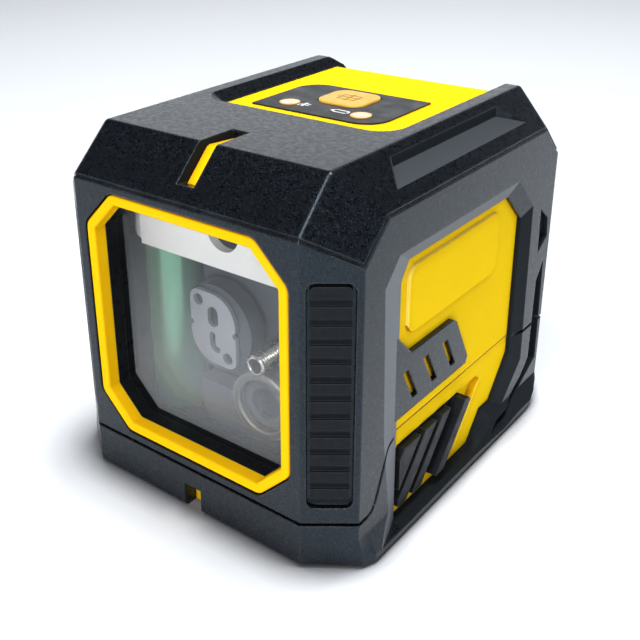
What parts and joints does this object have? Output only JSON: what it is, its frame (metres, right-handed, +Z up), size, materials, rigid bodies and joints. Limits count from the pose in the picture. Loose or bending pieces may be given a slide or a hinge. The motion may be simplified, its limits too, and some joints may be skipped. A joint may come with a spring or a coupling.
{
  "type": "cross line laser level",
  "caption": "Compact self-levelling cross line laser level: black armour over a yellow housing, octagonal window, gimbal pendulum inside, side lock slider, top button and tripod socket.",
  "frame": {"origin": "centre of the overall box on the ground plane, under the middle of the body", "axes": "+Z up, front window faces -Y, the lock slider is on the +X side"},
  "size_m": [0.082, 0.096, 0.082],
  "materials": {
    "armour": "black, fine spark texture",
    "housing_yellow": "smooth moulded yellow",
    "frame_black": "satin black",
    "window": "clear, faintly grey",
    "grip_rubber": "soft black",
    "lock_black": "black, satin",
    "label": "dark grey membrane",
    "button_amber": "amber, smooth",
    "lamp": "cream light pipe",
    "board": "green solder resist",
    "switch": "black",
    "steel": "bright zinc plated",
    "bracket_white": "white, satin",
    "cell_sleeve": "green shrink sleeve",
    "lock_nylon": "dark nylon",
    "pad_rubber": "soft black",
    "pendulum_alloy": "dark blackened casting",
    "retainer_dark": "dark stamped steel",
    "brass": "turned",
    "lens": "polished rod"
  },
  "bodies": {
    "housing": {"top_cover": "armour", "body_armour": "armour", "base_armour": "armour", "upper_housing": "housing_yellow", "lower_housing": "housing_yellow", "window_bezel": "housing_yellow", "window_frame": "frame_black", "window_glass": "window", "left_grip_strip": "grip_rubber", "right_grip_strip": "grip_rubber", "keypad_label": "label", "charge_indicator": "lamp", "power_indicator": "lamp", "control_board": "board", "mode_switch": "switch", "status_leds": "lamp", "board_screws": "steel", "plunger_guide": "bracket_white", "left_cell": "cell_sleeve", "right_cell": "cell_sleeve", "upper_contacts": "steel", "lower_contacts": "steel", "gimbal_bracket": "bracket_white", "bracket_screws": "steel", "pitch_bearings": "steel", "damping_magnet": "steel", "tripod_insert": "brass", "housing_screws": "steel", "charging_board": "board", "usb_socket": "steel"},
    "lock": {"lock_slider": "lock_black", "lock_bar": "lock_nylon"},
    "plunger": {"lock_plunger": "lock_nylon", "lock_pad": "pad_rubber"},
    "gimbal": {"gimbal_ring": "pendulum_alloy", "pitch_pins": "steel", "roll_pins": "steel"},
    "pendulum": {"pendulum_body": "pendulum_alloy", "vertical_line_module": "brass", "vertical_line_lens": "lens", "module_retainer": "retainer_dark", "horizontal_line_module": "brass", "horizontal_line_lens": "lens", "lens_ring": "pendulum_alloy", "balance_screw": "steel", "balance_weight": "brass", "roll_bearings": "steel"},
    "button": {"mode_button": "button_amber"},
    "cover": {"port_cover": "grip_rubber"}
  },
  "joints": [
    {"name": "lock_slide", "type": "slide", "parent": "housing", "child": "lock", "axis": [0, 1, 0], "range_m": [0, 0.008]},
    {"name": "lock_lift", "type": "slide", "parent": "housing", "child": "plunger", "axis": [0, 0, -1], "range_m": [0, 0.0014]},
    {"name": "gimbal_pitch", "type": "hinge", "parent": "housing", "child": "gimbal", "pos_m": [0, -0.012, 0.06], "axis": [1, 0, 0], "range_deg": [-4, 4]},
    {"name": "pendulum_roll", "type": "hinge", "parent": "gimbal", "child": "pendulum", "pos_m": [0, -0.012, 0.06], "axis": [0, 1, 0], "range_deg": [-4, 4]},
    {"name": "button_press", "type": "slide", "parent": "housing", "child": "button", "axis": [0, 0, -1], "range_m": [0, 0.0006], "stiffness_N_per_m": 1500},
    {"name": "port_cover_swing", "type": "hinge", "parent": "housing", "child": "cover", "pos_m": [0, 0.04725, 0.03565], "axis": [-1, 0, 0], "range_deg": [0, 100]}
  ],
  "couplings": [
    {"joint": "lock_lift", "follows": "lock_slide", "ratio": 0.175}
  ]
}
